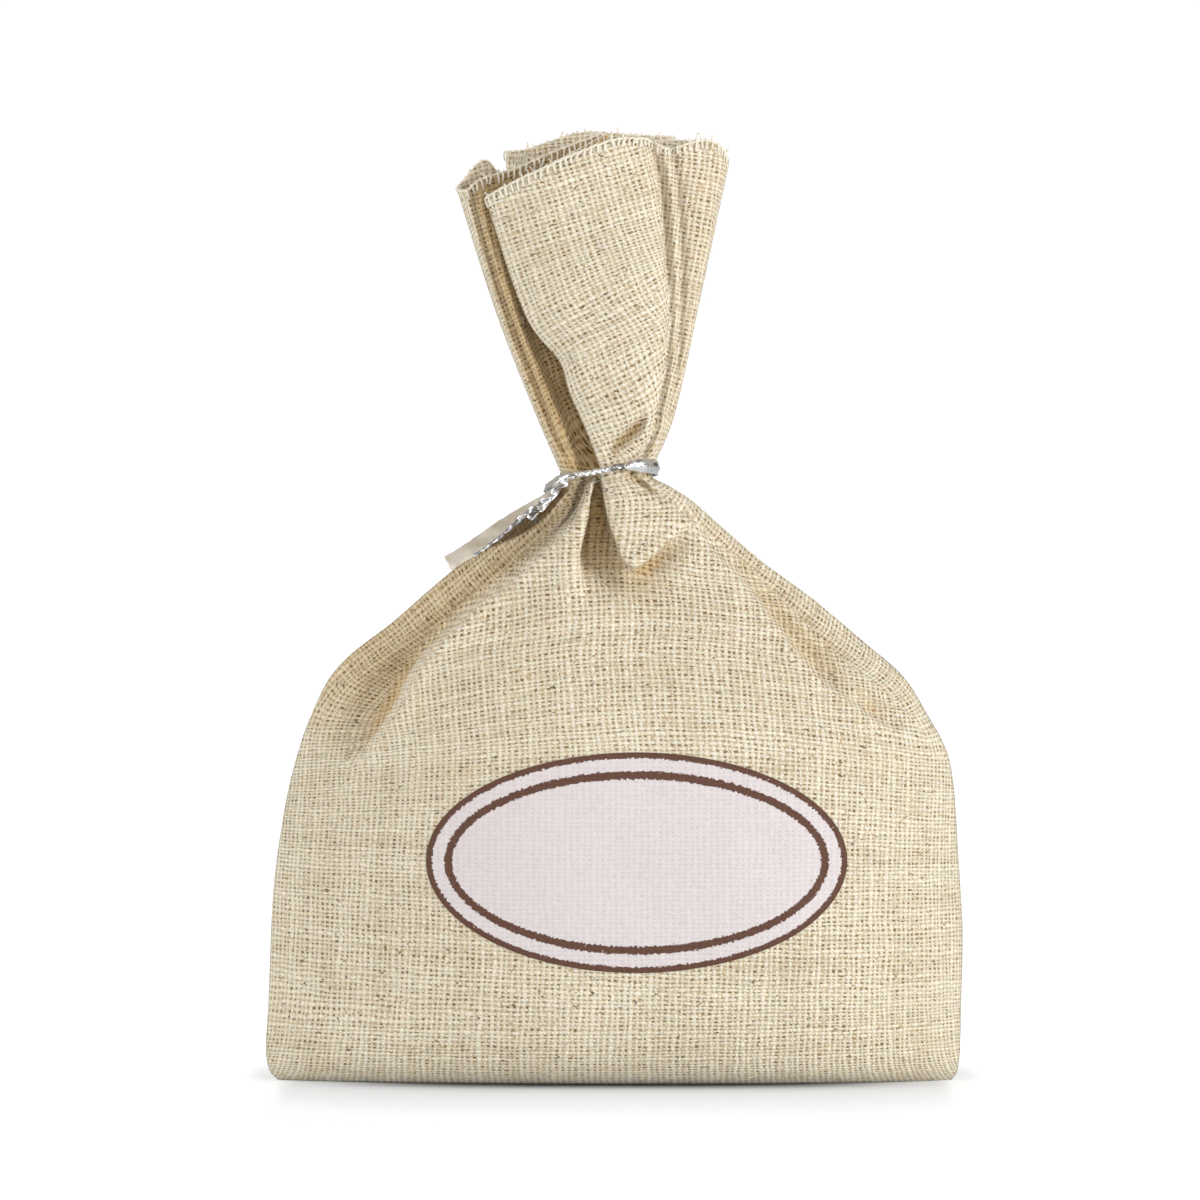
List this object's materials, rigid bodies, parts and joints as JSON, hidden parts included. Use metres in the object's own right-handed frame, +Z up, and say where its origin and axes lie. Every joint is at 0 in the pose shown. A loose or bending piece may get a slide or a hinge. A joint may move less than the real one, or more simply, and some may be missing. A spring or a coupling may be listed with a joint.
{
  "type": "lavender sachet",
  "caption": "Stuffed cloth sachet that stands on its base, gathered at the neck by a foil twist tie, with a frilled mouth above and an oval print in front.",
  "frame": {"origin": "under the middle of the base, on the surface that the sachet stands on", "axes": "+Z up, +X to the right as seen from the front, -Y towards the viewer"},
  "size_m": [0.0998, 0.0428, 0.1363],
  "materials": {
    "cloth": "matte loose plain weave",
    "lavender": "matte dried buds",
    "ink": "matte print",
    "foil": "bright metallised film",
    "wire": "drawn wire"
  },
  "bodies": {
    "pouch": {"front_panel": "cloth", "back_panel": "cloth", "left_side_seam": "cloth", "right_side_seam": "cloth", "lavender_fill": "lavender", "oval_print": "ink", "neck_gather": "cloth", "tie_band": "foil", "tie_band_wire": "wire"},
    "frill": {"front_frill": "cloth", "back_frill": "cloth", "left_frill_seam": "cloth", "right_frill_seam": "cloth"},
    "tie_tails": {"long_tail": "foil", "long_tail_wire": "wire", "short_tail": "foil", "short_tail_wire": "wire"}
  },
  "joints": [
    {"name": "frill_flop", "type": "hinge", "parent": "pouch", "child": "frill", "pos_m": [-0.0014, 0, 0.088], "axis": [1, 0, 0], "range_deg": [-20, 20], "stiffness_Nm_per_rad": 0.004, "deforming": ["neck_gather"]},
    {"name": "tie_tail_bend", "type": "hinge", "parent": "pouch", "child": "tie_tails", "pos_m": [-0.00618, -0.00757, 0.088], "axis": [-0.5757, 0, 0.8177], "range_deg": [0, 80]}
  ]
}
